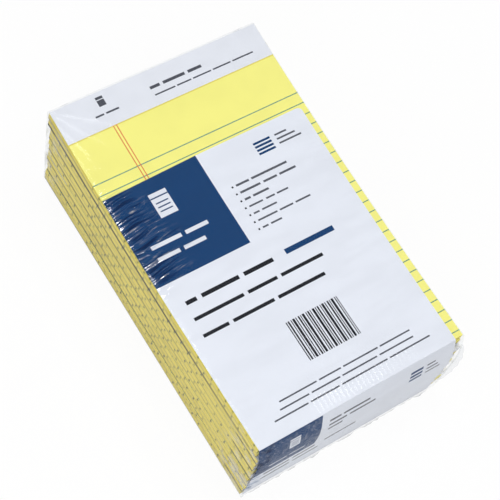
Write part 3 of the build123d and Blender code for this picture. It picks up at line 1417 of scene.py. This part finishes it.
    def add_ear(self, bm: bmesh.types.BMesh) -> list[bmesh.types.BMVert]:
        """Adds the ear of doubled film at the near right corner, as a crinkled fin.

        Args:
            bm: The film.

        Returns:
            The ear's vertices.
        """
        root_x = self.shape.right_wall + self.side_gap
        made = bmesh.ops.create_grid(bm, x_segments=8, y_segments=30, size=0.5)
        for vert in made["verts"]:
            out = vert.co.x + 0.5
            up = vert.co.y + 0.5
            z = (self.ear_low + self.ear_tall * up) * MM
            belly = math.sin(math.pi * clamp(up) ** 0.85) ** 0.6
            ragged = 1 + self.waves.ear_rim.at(up, 0.0)
            reach = (-self.ear_root + (self.ear_root + self.ear_reach * belly * ragged) * out) * MM
            crinkle = out * self.waves.ear_crinkle.at(up, out) * MM
            x = root_x + self.shape.lean_across * z + reach * 0.72 + crinkle
            y = self.shape.near_end(z, self.lift, self.end_gap) - reach * 0.5 + crinkle
            vert.co = Vector((x, y, z))
        return made["verts"]


@dataclass(frozen=True)
class Lamp:
    """A soft square lamp: its name, its place, its side and its power in watts."""

    name: str
    place: tuple[float, float, float]
    size: float
    power: float


@dataclass
class Studio:
    """The pale floor, the soft light and the camera."""

    lamps: tuple[Lamp, ...] = (
        Lamp("key", (0.10, 0.255, 1.15), 0.3, 3.3),
        Lamp("fill", (-0.52, -0.36, 0.60), 0.6, 2.35),
        Lamp("glint", (0.41, -0.24, 1.00), 0.13, 1.6),
    )
    aim: tuple[float, float, float] = (0.0, 0.0, 0.03)
    surround: float = 0.55
    floor_white: float = 0.86
    floor_glow: float = 0.94
    floor_half: float = 4.0
    floor_drop: float = 0.4 * MM
    eye: Vector = field(default_factory=lambda: Vector((-318.568, -205.815, 767.74)) * MM)
    look: Vector = field(default_factory=lambda: Vector((0.38636467, 0.2497778, -0.88788141)))
    right: Vector = field(default_factory=lambda: Vector((0.82399473, -0.52600895, 0.21058791)))
    lens: float = 112.74

    def build(self) -> None:
        """Sets the floor, the light and the camera."""
        self.floor()
        self.world()
        for lamp in self.lamps:
            self.hang(lamp)
        self.camera()
        bpy.context.scene.view_settings.view_transform = "Standard"

    def floor(self) -> None:
        """Lays a wide white floor that reads as background and keeps a trace of shadow."""
        bm = bmesh.new()
        bmesh.ops.create_grid(bm, x_segments=4, y_segments=4, size=self.floor_half)
        bmesh.ops.translate(bm, vec=(0.0, 0.0, -self.floor_drop), verts=bm.verts)
        mesh = bpy.data.meshes.new("floor")
        bm.to_mesh(mesh)
        bm.free()
        floor = bpy.data.objects.new("floor", mesh)
        bpy.context.scene.collection.objects.link(floor)
        s = Shader("floor_white")
        white = self.floor_white
        matt = s.node("ShaderNodeBsdfDiffuse", {0: (white, white, white, 1.0)})
        glow = s.node("ShaderNodeEmission", {0: (1.0, 1.0, 1.0, 1.0), 1: 1.0})
        share = s.math("MULTIPLY", self.seen(s), self.floor_glow)
        skin = s.node("ShaderNodeMixShader", {0: share, 1: matt.outputs[0], 2: glow.outputs[0]})
        s.tree.links.new(skin.outputs[0], s.output.inputs[0])
        mesh.materials.append(s.material)

    def seen(self, s: Shader) -> Socket:
        """Tells the rays that show the background.

        Args:
            s: The floor's material.

        Returns:
            1 for rays from the camera, from mirrors and through clear film, 0 for the rest.
        """
        path = s.node("ShaderNodeLightPath")
        rays = s.math("MAXIMUM", path.outputs["Is Camera Ray"], path.outputs["Is Glossy Ray"])
        return s.math("MAXIMUM", rays, path.outputs["Is Transmission Ray"])

    def world(self) -> None:
        """Gives an even surround that lights softly and shows white to the camera and through film."""
        world = bpy.data.worlds.new("surround")
        bpy.context.scene.world = world
        world.use_nodes = True
        tree = world.node_tree
        tree.nodes.clear()
        path = tree.nodes.new("ShaderNodeLightPath")
        shades = []
        for strength in (self.surround, 1.0):
            shade = tree.nodes.new("ShaderNodeBackground")
            shade.inputs[0].default_value = (1.0, 1.0, 1.0, 1.0)
            shade.inputs[1].default_value = strength
            shades.append(shade)
        either = tree.nodes.new("ShaderNodeMath")
        either.operation = "MAXIMUM"
        tree.links.new(path.outputs["Is Camera Ray"], either.inputs[0])
        tree.links.new(path.outputs["Is Transmission Ray"], either.inputs[1])
        mix = tree.nodes.new("ShaderNodeMixShader")
        tree.links.new(either.outputs[0], mix.inputs[0])
        for count, shade in enumerate(shades, start=1):
            tree.links.new(shade.outputs[0], mix.inputs[count])
        output = tree.nodes.new("ShaderNodeOutputWorld")
        tree.links.new(mix.outputs[0], output.inputs[0])

    def hang(self, lamp: Lamp) -> None:
        """Hangs a lamp so that it faces the pack.

        Args:
            lamp: The lamp.
        """
        light = bpy.data.lights.new(lamp.name, "AREA")
        light.size = lamp.size
        light.energy = lamp.power
        hung = bpy.data.objects.new(lamp.name, light)
        hung.location = lamp.place
        hung.rotation_mode = "QUATERNION"
        hung.rotation_quaternion = (Vector(self.aim) - Vector(lamp.place)).to_track_quat("-Z", "Y")
        bpy.context.scene.collection.objects.link(hung)

    def camera(self) -> None:
        """Sets the camera at the photograph's place."""
        data = bpy.data.cameras.new("camera")
        data.lens = self.lens
        data.sensor_width = 36.0
        data.clip_start = 0.05
        data.clip_end = 20.0
        camera = bpy.data.objects.new("camera", data)
        back = -self.look.normalized()
        right = self.right.normalized()
        up = back.cross(right)
        turn = Matrix((right, up, back)).transposed().to_4x4()
        camera.matrix_world = Matrix.Translation(self.eye) @ turn
        bpy.context.scene.collection.objects.link(camera)
        bpy.context.scene.camera = camera


def main() -> None:
    """Loads the frame and builds the pack on it."""
    logging.basicConfig(level=logging.INFO)
    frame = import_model()
    shape = StackShape()
    PadStack(shape).dress(frame["nodes"])
    WrapLabel(shape).build()
    ShrinkFilm(shape).build()
    Studio().build()


if __name__ == "__main__":
    main()
